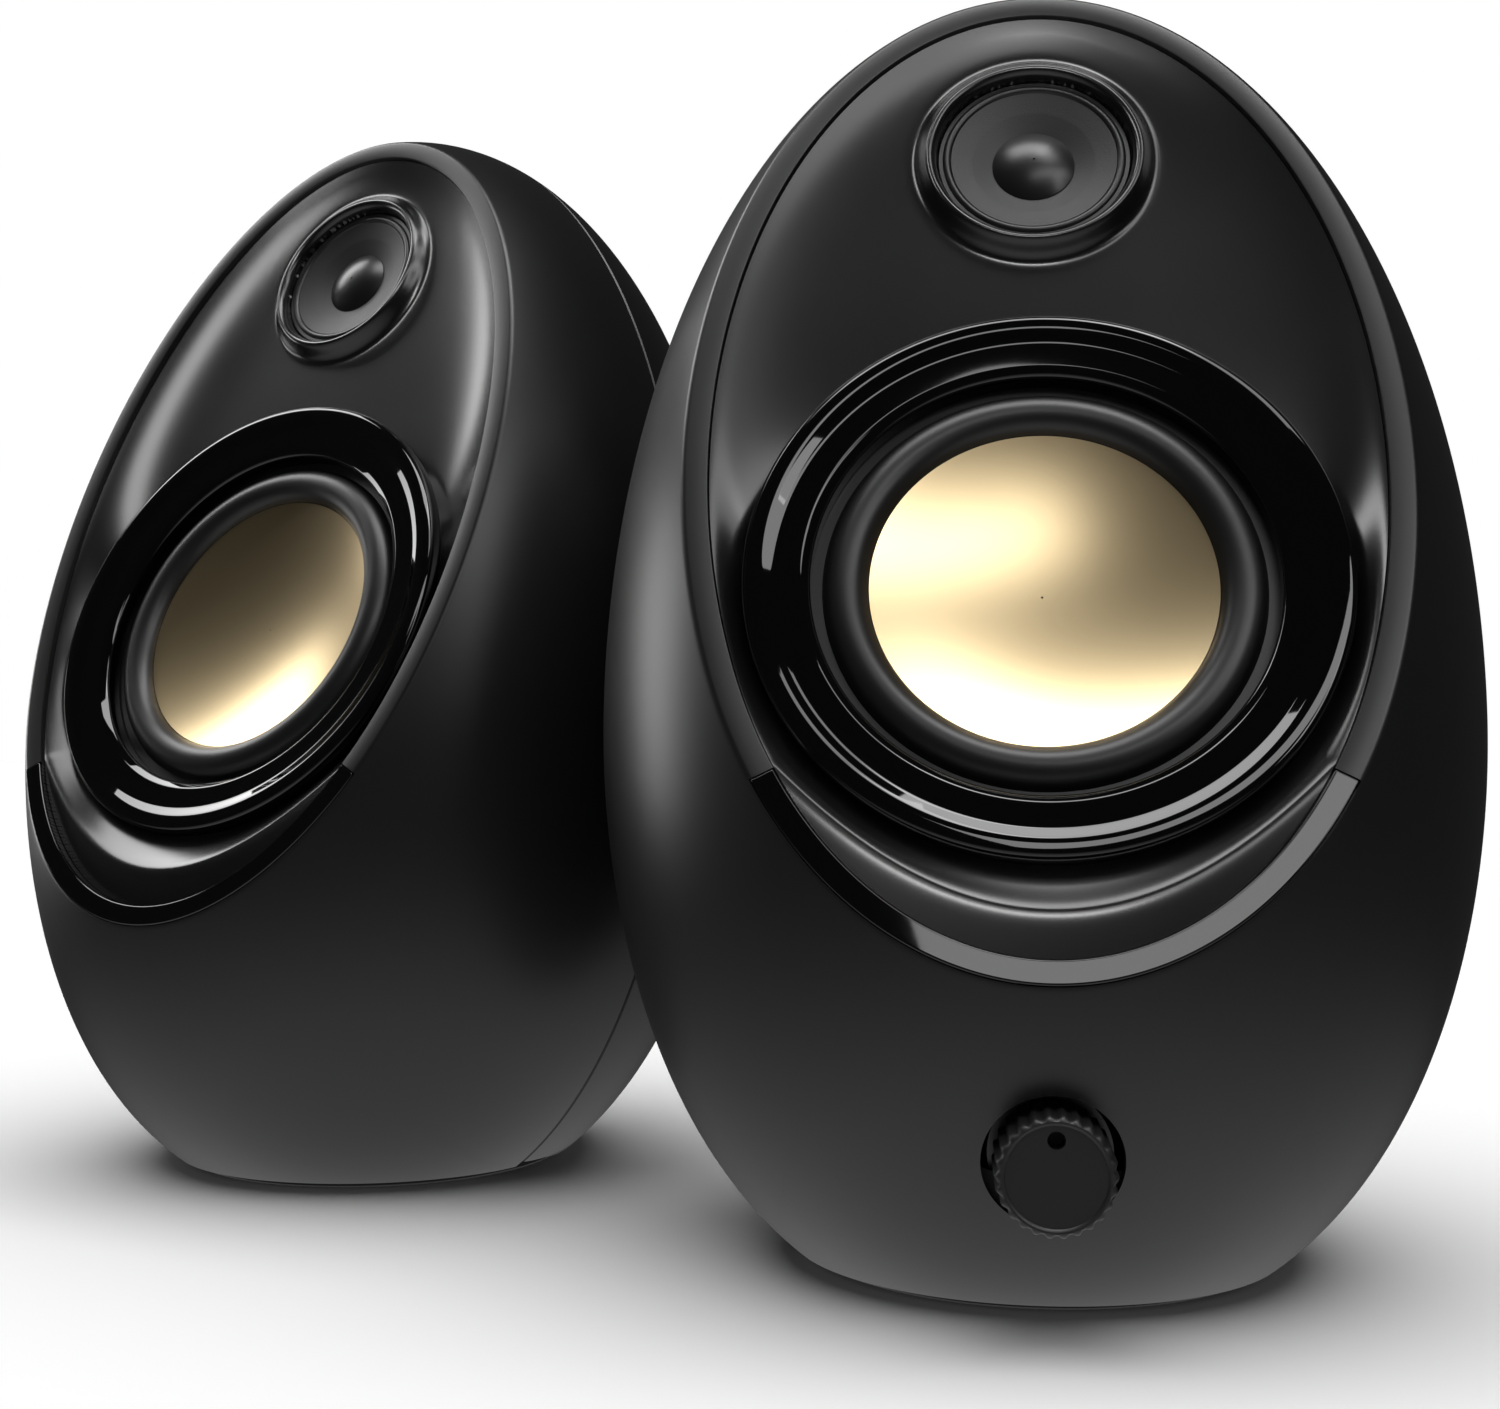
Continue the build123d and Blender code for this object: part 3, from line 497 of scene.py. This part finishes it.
def front_shell(side):
    """Front half of the cabinet: skin, rounded rim, and inner wall, as one closed mesh."""
    corner = base_corner() - WOOFER_CENTRE
    angle = math.atan2(corner @ FACE_UP, corner[0])
    theta = columns_with([angle, -math.pi - angle], 360)
    count = len(theta)

    def end_turn(shrink, seam):
        def going(phi):
            points = to_skin(WOOFER_CENTRE, directions_from_face(theta, phi), shrink)
            return (egg_axes(points)[0] < -seam) & (points[..., 2] > FLOOR_GAP)
        return bisect((count,), math.pi, going)

    def skin(start, end, steps, shrink):
        share = np.linspace(0, 1, steps)[:, None]
        phi = start * (1 - share) + end * share
        return to_skin(WOOFER_CENTRE, directions_from_face(np.broadcast_to(theta, phi.shape), phi), shrink)

    def flat(inset, depth):
        return on_face(*outline(theta, inset), depth)[None]

    edge = flat(0.0, 0.0)
    edge_start = flat(RIM_EDGE, 0.0)
    outer = skin(RIM_EDGE / rim_radius(theta), end_turn(0.0, SEAM / 2 + SEAM_BREAK), 120, 0.0)
    share = np.linspace(0, 1, 6)[1:-1, None, None]
    rounding = (1 - share) ** 2 * edge_start + 2 * share * (1 - share) * edge + share ** 2 * outer[:1]
    seam_turn = end_turn(SEAM_BREAK, SEAM / 2)
    seam_edge = skin(seam_turn, seam_turn, 1, SEAM_BREAK)
    inner = skin(end_turn(WALL, SEAM / 2), INNER_START + 0 * theta, 30, WALL)
    rim = [
        flat(RIM, BAFFLE_BACK), flat(RIM, RIM_BREAK), flat(RIM - 0.07, 0.07), flat(RIM - RIM_BREAK, 0.0),
        edge_start]
    rows = np.concatenate(rim + [rounding, outer, seam_edge, inner])
    faces = grid_faces(len(rows), count, close_rows=True)
    return piece(side + "_cabinet_front", rows, faces, side, MATERIALS["cabinet"])


def rear_shell(side):
    """Rear half of the cabinet as one closed mesh, before its pocket and wells are cut."""
    middle = egg_point(0.0, SEAM / 2, 0.0)
    corner = base_corner() - middle
    upward = egg_point(0.0, 0.0, 1.0) - egg_point(0.0, 0.0, 0.0)
    angle = math.atan2(corner @ upward, corner[0])
    theta = columns_with([angle, -math.pi - angle], 360)

    def end_turn(shrink, seam):
        def going(phi):
            points = to_skin(middle, directions_from_seam(theta, phi), shrink)
            return (egg_axes(points)[0] > seam) & (points[..., 2] > FLOOR_GAP)
        return bisect(theta.shape, math.pi / 2, going)

    def skin(start, end, steps, shrink):
        share = np.linspace(0, 1, steps)[:, None]
        phi = start * (1 - share) + end * share
        return to_skin(middle, directions_from_seam(np.broadcast_to(theta, phi.shape), phi), shrink)

    pole = POLE_TURN + 0 * theta
    outer = skin(pole, end_turn(0.0, SEAM / 2 + SEAM_BREAK), 100, 0.0)
    seam_turn = end_turn(SEAM_BREAK, SEAM / 2)
    seam_edge = skin(seam_turn, seam_turn, 1, SEAM_BREAK)
    inner = skin(end_turn(WALL, SEAM / 2), pole, 24, WALL)
    rows = np.concatenate([outer, seam_edge, inner])
    count = len(theta)
    faces = grid_faces(len(rows), count)
    faces += [list(range(count)), list(range((len(rows) - 1) * count, len(rows) * count))]
    return piece(side + "_cabinet_rear", rows, faces, side, MATERIALS["cover"])


def trim_sweep(gap, proud, depth):
    """Ring sector between the notches; gap widens it on every side but the front."""
    reach = math.atan2(WOOFER_V - NOTCH_V, NOTCH_X)
    ease = gap / math.hypot(NOTCH_X, WOOFER_V - NOTCH_V)
    theta = np.linspace(-math.pi + reach - ease, -reach + ease, 161)
    inside = RIM if gap else RIM - TRIM_GAP
    corners = [(-gap, -proud), (inside, -proud), (inside, depth + gap), (-gap, depth + gap)]
    rows = np.stack([on_face(*outline(theta, inset), d) for inset, d in corners])
    count = len(theta)
    faces = grid_faces(4, count, close_rows=True, close_columns=False)
    faces += [[row * count for row in range(4)], [row * count + count - 1 for row in range(4)]]
    return rows, faces


def lower_trim(side):
    points, faces = trim_sweep(0.0, TRIM_PROUD, TRIM_DEPTH)
    obj = piece(side + "_gloss_trim", points, faces, side, MATERIALS["gloss_trim"], 60)
    edge = obj.modifiers.new("edge", "BEVEL")
    edge.width = TRIM_BEVEL * MM
    edge.segments = 4
    edge.limit_method = "ANGLE"
    edge.angle_limit = math.radians(50)
    edge.harden_normals = True
    settle(obj, side, side + "_speaker", "gloss_trim", "lower_trim")


def seam_place(x, along):
    return egg_point(x, 0.0, along), egg_point(0, 1.0, 0) - egg_point(0, 0.0, 0)


def rounded_slab(spread, y_start, y_end):
    """Points and faces of the socket pocket's outline, widened by spread and drawn along Y."""
    left, right = -PANEL_HALF_WIDTH - spread, PANEL_HALF_WIDTH + spread
    low, high = PANEL_LOW - spread, PANEL_HIGH + spread
    corners = ((left, low), (right, low), (right, high), (left, high))
    loop = rounded([(a, b, PANEL_CORNER) for a, b in corners])
    count = len(loop)
    points = [(x, y_start, z) for x, z in loop] + [(x, y_end, z) for x, z in loop]
    faces = grid_faces(2, count) + [list(range(count)), list(range(count, 2 * count))]
    return points, faces


def cabinet(side):
    front = front_shell(side)
    cuts = [cutter(*trim_sweep(TRIM_GAP, TRIM_PROUD + 2, TRIM_DEPTH), side)]
    if side == "main":
        cuts.append(bar((0, -POCKET_FLOOR, KNOB_Z), (0, -1, 0), POCKET_R, 40, side, 128))
    carve(front, cuts)
    settle(front, side, side + "_speaker", "cabinet", "housing")

    rear = rear_shell(side)
    cuts = [cutter(*rounded_slab(0, PANEL_Y, PANEL_Y + 40), side)]
    for x, along in COVER_POSTS:
        for way in (-1, 1):
            start, back = seam_place(way * x, along)
            cuts.append(bar(start + back * POST_SEAT, back, SCREW_WELL_R, 80, side))
    carve(rear, cuts)
    settle(rear, side, side + "_speaker", "cover", "rear_cover")
    socket_panel(side)


def socket_panel(side):
    """Floor of the socket pocket, with its holes."""
    points, faces = rounded_slab(PANEL_OVERLAP, PANEL_Y - PANEL_THICK, PANEL_Y)
    panel = piece(side + "_socket_panel", points, faces, side, MATERIALS["cover"])
    holes = [(0.0, JACK_NOSE_R)]
    if side == "main":
        holes += [(SOCKET_STEP, INLET_NOSE_R), (-SOCKET_STEP, JACK_NOSE_R)]
    carve(panel, [bar((x, PANEL_Y - 5, SOCKET_Z), (0, 1, 0), r + HOLE_PLAY, 10, side) for x, r in holes])
    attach(panel, side + "_speaker")


# ---- baffle ----

def dish_edge(theta):
    """Distance from the woofer's centre to the edge of the dish, above the crescent."""
    around = np.arctan2(np.sin(theta + math.pi / 2), np.cos(theta + math.pi / 2))
    crescent = np.maximum(0.0, 1 - (around / CRESCENT_SPREAD) ** 2)
    return rim_radius(theta) - RIM - RIM_GAP - CRESCENT * crescent


DISH_TABLE = np.linspace(-math.pi, math.pi, 721)
DISH_EDGE = dish_edge(DISH_TABLE)

def baffle_depth(x, v):
    """Depth of the baffle's front behind the face plane."""
    theta = np.arctan2(v - WOOFER_V, x)
    radius = np.hypot(x, v - WOOFER_V)
    edge = np.interp(theta, DISH_TABLE, DISH_EDGE)
    inwards = EDGE_SOFTNESS * np.logaddexp(0, (edge - radius) / EDGE_SOFTNESS)
    span = np.maximum(edge - RING_R, 0.5)
    share = np.minimum(inwards / span, 1.0)
    fillet = FILLET_FALL * (1 - np.exp(-inwards / FILLET_REACH))
    whole = FILLET_FALL * (1 - np.exp(-span / FILLET_REACH))
    depth = BAFFLE_FRONT + fillet * np.minimum(1.0, FALL / whole) + np.maximum(0, FALL - whole) * share
    depth = depth + CRESCENT_SLOPE * np.clip(radius - edge, 0, CRESCENT)
    from_tweeter = np.hypot(x, v - TWEETER_V)
    shoulder = np.exp(-np.maximum(0, (from_tweeter - TWEETER_LIP_R) / LIP_SOFTNESS) ** 2)
    depth = depth + (LIP_DEPTH - depth) * shoulder
    inner = np.clip((TWEETER_LIP_R - from_tweeter) / (TWEETER_LIP_R - TWEETER_HOLE_R), 0, 1)
    return depth + (LIP_FLOOR - LIP_DEPTH) * (1 - np.sqrt(1 - inner ** 2))


def baffle(side):
    """Front panel: rings of points round the woofer and the tweeter, joined and raised by baffle_depth."""
    theta = np.linspace(-math.pi, math.pi, 288, endpoint=False)
    outer_x, outer_v = outline(theta, RIM + RIM_GAP)
    inner_x, inner_v = BAFFLE_HOLE_R * np.cos(theta), WOOFER_V + BAFFLE_HOLE_R * np.sin(theta)
    share = np.linspace(0, 1, 44)[:, None]
    x = inner_x * (1 - share) + outer_x * share
    v = inner_v * (1 - share) + outer_v * share
    fine = np.linspace(TWEETER_HOLE_R, LIP_MESH_R, 34)
    coarse = np.linspace(LIP_MESH_R + 0.4, LIP_MESH_END, 9)
    lip = np.concatenate([fine, coarse])[:, None]
    turn = np.linspace(-math.pi, math.pi, 288, endpoint=False)
    lip_x, lip_v = lip * np.cos(turn), TWEETER_V + lip * np.sin(turn)
    keep = np.hypot(x, v - TWEETER_V) > LIP_MESH_END + 0.4
    keep[0] = keep[-1] = False
    flat = np.concatenate([
        np.stack([x[-1], v[-1]], 1), np.stack([x[0], v[0]], 1), np.stack([lip_x[0], lip_v[0]], 1),
        np.stack([lip_x[1:].ravel(), lip_v[1:].ravel()], 1), np.stack([x[keep], v[keep]], 1)])
    loops, start = [], 0
    for count in (len(theta), len(theta), len(turn)):
        loops += [(start + i, start + (i + 1) % count) for i in range(count)]
        start += count
    made = delaunay_2d_cdt([Vector(p) for p in flat], loops, [], 0, 1e-6)
    plane = np.array([tuple(p) for p in made[0]])
    triangles = np.array(made[2])
    middle = plane[triangles].mean(axis=1)
    angle = np.arctan2(middle[:, 1] - WOOFER_V, middle[:, 0])
    rim = np.interp(angle, theta, np.hypot(outer_x, outer_v - WOOFER_V), period=2 * math.pi)
    reach = np.hypot(middle[:, 0], middle[:, 1] - WOOFER_V)
    from_tweeter = np.hypot(middle[:, 0], middle[:, 1] - TWEETER_V)
    good = (reach < rim) & (reach > BAFFLE_HOLE_R - 0.1) & (from_tweeter > TWEETER_HOLE_R - 0.01)
    triangles = triangles[good]
    front = on_face(plane[:, 0], plane[:, 1], baffle_depth(plane[:, 0], plane[:, 1]))
    back = on_face(plane[:, 0], plane[:, 1], BAFFLE_BACK)
    count = len(plane)
    faces = triangles.tolist() + (triangles[:, ::-1] + count).tolist()
    edges = {}
    for a, b, c in triangles.tolist():
        for pair in ((a, b), (b, c), (c, a)):
            key = tuple(sorted(pair))
            edges[key] = None if key in edges else pair
    for pair in edges.values():
        if pair:
            a, b = pair
            faces.append([b, a, a + count, b + count])
    obj = piece(side + "_baffle_panel", np.concatenate([front, back]), faces, side, MATERIALS["baffle"], 60)
    settle(obj, side, side + "_speaker", "baffle", "baffle")


# ---- drivers ----

def woofer_ring(side):
    corners = [
        (RING_R, 4.25, 0), (RING_R, 1.25, 2.2), (38.0, 1.15, 2.5), (36.2, 2.0, 2.0), (32.5, 2.45, 0.9),
        (RING_HOLE_R, 3.3, 1.0), (RING_HOLE_R, 6.2, 0.2), (32.4, 6.2, 0.1), (32.4, 4.25, 0), (33.4, 4.25, 0),
        (33.4, 3.6, 0), (38.7, 3.3, 0), (38.7, 4.25, 0)]
    gloss = MATERIALS["gloss_trim"]
    obj = turned(side + "_woofer_trim_ring", corners, WOOFER_V, side, gloss, columns=288, steps=8)
    settle(obj, side, side + "_speaker", "gloss_trim", "woofer_ring")


def woofer_cone(side):
    radius = np.linspace(0.15, CONE_R, 40)
    depth = CONE_DEPTH + DISH * (1 - (radius / CONE_R) ** 2)
    front = list(zip(radius, depth))
    back = [(r, d + CONE_SHEET) for r, d in reversed(front)]
    points, faces = lathe(front + back, WOOFER_V, 192)
    obj = piece(side + "_woofer_dish", points, faces, side, MATERIALS["champagne_metal"], 60)
    settle(obj, side, side + "_woofer_diaphragm", "champagne_metal", "woofer_cone")


def surround(name, side, driver, centre_v, inner_r, outer_r, edge_depth, sheet, land, material):
    """Half-round roll between a diaphragm and its frame."""
    middle, roll = (inner_r + outer_r) / 2, (outer_r - inner_r) / 2
    bend = np.linspace(math.pi, 0, 25)
    outer_arc = [(middle + roll * math.cos(a), edge_depth + sheet - roll * math.sin(a)) for a in bend]
    thin = roll - sheet
    inner_arc = [(middle + thin * math.cos(a), edge_depth + sheet - thin * math.sin(a)) for a in bend[::-1]]
    front = outer_arc[:-2] + [(outer_r + 0.05, edge_depth), (outer_r + land, edge_depth)]
    back = [(outer_r + land, edge_depth + sheet)] + inner_arc
    points, faces = lathe(front + back, centre_v, 192)
    obj = piece(name, points, faces, side, material, 50)
    centre = PLACES[side] @ Vector(on_face(0.0, centre_v, edge_depth) * MM)
    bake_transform(obj)
    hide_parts(f"{side}_{driver}_surround")


def dust_cap(side):
    rise, base = 1.7, 4.75
    ball = (DUST_CAP_R ** 2 + rise ** 2) / (2 * rise)
    radius = DUST_CAP_R * np.sin(np.linspace(0.03, math.pi / 2, 24))
    depth = base - rise + ball - np.sqrt(ball ** 2 - radius ** 2)
    front = list(zip(radius, depth))
    back = [(r, d + 0.35) for r, d in reversed(front)]
    points, faces = lathe(front + back, TWEETER_V, 96)
    obj = piece(side + "_tweeter_dome", points, faces, side, MATERIALS["dome"], 60)
    settle(obj, side, side + "_tweeter_diaphragm", "dome", "tweeter_dust_cap")


def tweeter(side):
    frame_corners = [
        (12.4, 3.5, 0.1), (12.9, 3.3, 0.15), (13.3, 3.75, 0.15), (13.7, 3.3, 0.15), (13.95, 3.6, 0.1),
        (13.95, 8.05, 0), (17.8, 8.05, 0.2), (17.8, 9.5, 0.2), (13.0, 9.5, 0), (12.6, 14.0, 0),
        (6.5, 14.0, 0), (6.5, 12.6, 0), (11.4, 12.6, 0), (12.4, 6.6, 0)]
    obj = turned(side + "_tweeter_basket", frame_corners, TWEETER_V, side, MATERIALS["painted_steel"])
    settle(obj, side, side + "_speaker", "painted_steel", "tweeter_frame")
    cone_corners = [
        (TWEETER_CONE_R, 3.0, 0), (TWEETER_CONE_R, 3.3, 0), (DUST_CAP_R - 0.3, 5.4, 0),
        (DUST_CAP_R - 0.3, 5.0, 0), (9.0, 3.85, 6.0)]
    obj = turned(side + "_tweeter_paper_cone", cone_corners, TWEETER_V, side, MATERIALS["cone_paper"])
    settle(obj, side, side + "_tweeter_diaphragm", "cone_paper", "tweeter_cone")
    surround(side + "_tweeter_roll", side, "tweeter", TWEETER_V, TWEETER_CONE_R + 0.03, 13.3, 3.0, 0.25, 0.6,
             MATERIALS["surround_rubber"])
    dust_cap(side)


# ---- knob ----

def volume_knob():
    """Scalloped knob with a slightly sunk face and a blind pointer hole."""
    per_grip = 12
    turn = np.linspace(0, 2 * math.pi, GRIPS * per_grip, endpoint=False)
    wave = 0.5 - 0.5 * np.cos(GRIPS * turn)
    back, front, floor = POCKET_FLOOR + 0.6, KNOB_FRONT, KNOB_FRONT - KNOB_SUNK
    profile = [
        (0.2, back, 0), (KNOB_R - 0.5, back, 0.3), (KNOB_R, back + 0.5, 1), (KNOB_R, front - 1.6, 1),
        (KNOB_R - 0.1, front - 0.75, 0.9), (KNOB_R - 0.35, front - 0.25, 0.5), (KNOB_R - 0.75, front, 0.1),
        (KNOB_FACE_R + 0.15, front, 0), (KNOB_FACE_R, front - 0.05, 0), (KNOB_FACE_R - 0.2, floor, 0),
        (3.0, floor, 0), (0.2, floor, 0)]
    rows = []
    for radius, distance, ridge in profile:
        reach = radius - GRIP_DEEP * ridge * wave
        rows.append(np.stack([reach * np.cos(turn), 0 * turn - distance, KNOB_Z + reach * np.sin(turn)], 1))
    rows = np.array(rows)
    count = len(turn)
    faces = grid_faces(len(rows), count)
    faces += [list(range(count)), list(range((len(rows) - 1) * count, len(rows) * count))]
    obj = piece("knob_cap", rows, faces, "main", MATERIALS["knob"], 38)
    pointer = bar((0, POINTER_DEEP - KNOB_FRONT, KNOB_Z + POINTER_UP), (0, -1, 0), POINTER_R, 6, "main")
    carve(obj, [pointer], 38)
    settle(obj, "main", "volume_knob", "knob", "volume_knob")


# ---- set ----

def soft_box(name, azimuth, elevation, distance, size, radiance):
    """Area light around the pair: azimuth 0 is in front, 90 to the right; it looks at the pair's middle."""
    light = bpy.data.lights.new(name, "AREA")
    light.shape = "RECTANGLE"
    light.size, light.size_y = size
    light.energy = 4 * size[0] * size[1] * radiance
    obj = bpy.data.objects.new(name, light)
    bpy.context.scene.collection.objects.link(obj)
    turn, rise = math.radians(azimuth), math.radians(elevation)
    way = Vector((math.sin(turn) * math.cos(rise), -math.cos(turn) * math.cos(rise), math.sin(rise)))
    obj.location = STUDIO_MIDDLE + way * distance
    obj.rotation_euler = (-way).to_track_quat("-Z", "Y").to_euler()
    obj.visible_camera = False
    obj.visible_diffuse = False
    return obj


STUDIO_MIDDLE = Vector((0.0, 0.0, 0.1))
SOFT_BOXES = (
    # name, azimuth, elevation, distance, (width, height), radiance
    ("overhead", 0, 80, 1.2, (0.8, 0.44), 5.5),
    ("left_key", -113, 6, 1.1, (0.40, 0.44), 3.6),
    ("left_high", -112, 44, 1.1, (0.42, 0.60), 5.5),
    ("right_key", 46, 64, 1.1, (0.34, 0.42), 3.0),
    ("front_card", 31, 37, 1.3, (1.15, 0.24), 3.4),
    ("shoulder", 42, 22, 1.2, (0.18, 0.40), 4.0),
)
# Soft boxes that light only the two baffle panels
PANEL_BOXES = (
    ("panel_top", 0, 27, 1.5, (0.60, 0.16), 18.0),
    ("panel_left_sweep", 62, 44, 1.2, (0.34, 0.60), 2.5),
    ("panel_right_sweep", -60, 44, 1.2, (0.24, 0.60), 7.0),
)


def floor():
    reach = 8.0
    corners = [(-reach, -reach, 0), (reach, -reach, 0), (reach, reach, 0), (-reach, reach, 0)]
    mesh = bpy.data.meshes.new("floor")
    mesh.from_pydata(corners, [], [(0, 1, 2, 3)])
    obj = bpy.data.objects.new("floor", mesh)
    bpy.context.scene.collection.objects.link(obj)
    paper = bpy.data.materials.new("pale_paper")
    paper.use_nodes = True
    shader = paper.node_tree.nodes["Principled BSDF"]
    shader.inputs["Base Color"].default_value = (0.92, 0.92, 0.92, 1)
    shader.inputs["Roughness"].default_value = 0.9
    shader.inputs["Specular IOR Level"].default_value = 0.0
    mesh.materials.append(paper)
    obj.visible_glossy = False


def background(nodes, strength):
    glow = nodes.new("ShaderNodeBackground")
    glow.inputs["Color"].default_value = (1, 1, 1, 1)
    glow.inputs["Strength"].default_value = strength
    return glow


def surroundings():
    """White behind the pair, dim light around it, and in reflections dark above and pale below."""
    world = bpy.data.worlds.new("studio")
    bpy.context.scene.world = world
    world.use_nodes = True
    nodes, links = world.node_tree.nodes, world.node_tree.links
    nodes.remove(nodes["Background"])
    outside = background(nodes, 0.12)
    backdrop = background(nodes, 1.0)
    reflected = background(nodes, 0.0)
    toward = nodes.new("ShaderNodeTexCoord")
    parts = nodes.new("ShaderNodeSeparateXYZ")
    links.new(toward.outputs["Generated"], parts.inputs["Vector"])
    fade = nodes.new("ShaderNodeMapRange")
    fade.inputs["From Min"].default_value = -0.75
    fade.inputs["From Max"].default_value = -0.25
    fade.inputs["To Min"].default_value = 0.8
    fade.inputs["To Max"].default_value = 0.03
    links.new(parts.outputs["Z"], fade.inputs["Value"])
    links.new(fade.outputs["Result"], reflected.inputs["Strength"])
    path = nodes.new("ShaderNodeLightPath")
    unseen = nodes.new("ShaderNodeMixShader")
    links.new(path.outputs["Is Glossy Ray"], unseen.inputs["Fac"])
    links.new(outside.outputs["Background"], unseen.inputs[1])
    links.new(reflected.outputs["Background"], unseen.inputs[2])
    mix = nodes.new("ShaderNodeMixShader")
    links.new(path.outputs["Is Camera Ray"], mix.inputs["Fac"])
    links.new(unseen.outputs["Shader"], mix.inputs[1])
    links.new(backdrop.outputs["Background"], mix.inputs[2])
    links.new(mix.outputs["Shader"], nodes["World Output"].inputs["Surface"])


def lights():
    ceiling = bpy.data.lights.new("ceiling", "SUN")
    ceiling.energy = 3.1
    ceiling.angle = math.radians(75)
    obj = bpy.data.objects.new("ceiling", ceiling)
    bpy.context.scene.collection.objects.link(obj)
    obj.visible_glossy = False
    for box in SOFT_BOXES:
        soft_box(*box)
    panels = bpy.data.collections.new("panels_lit_alone")
    for side in SIDES:
        panels.objects.link(bpy.data.objects[side + "_baffle_panel"])
    for box in PANEL_BOXES:
        soft_box(*box).light_linking.receiver_collection = panels


def camera():
    """Camera in front of the main speaker, below its woofer and a little left, looking slightly up."""
    data = bpy.data.cameras.new("camera")
    data.sensor_width = 36.0
    data.lens = 47.72
    obj = bpy.data.objects.new("camera", data)
    bpy.context.scene.collection.objects.link(obj)
    base = PLACES["main"].translation
    obj.location = base + Vector((-0.01327, -0.301745, 0.074894))
    obj.rotation_euler = Euler((math.radians(91.19), 0, math.radians(5.58)))
    bpy.context.scene.camera = obj


repaint_nodes()
for side in SIDES:
    cabinet(side)
    lower_trim(side)
    baffle(side)
    woofer_ring(side)
    woofer_cone(side)
    surround(side + "_woofer_roll", side, "woofer", WOOFER_V, CONE_R + 0.03, ROLL_OUTER_R,
             CONE_DEPTH + 0.1, 0.5, 2.9, MATERIALS["surround_rubber"])
    tweeter(side)
volume_knob()
floor()
surroundings()
lights()
camera()
bpy.context.scene.view_settings.view_transform = "Standard"
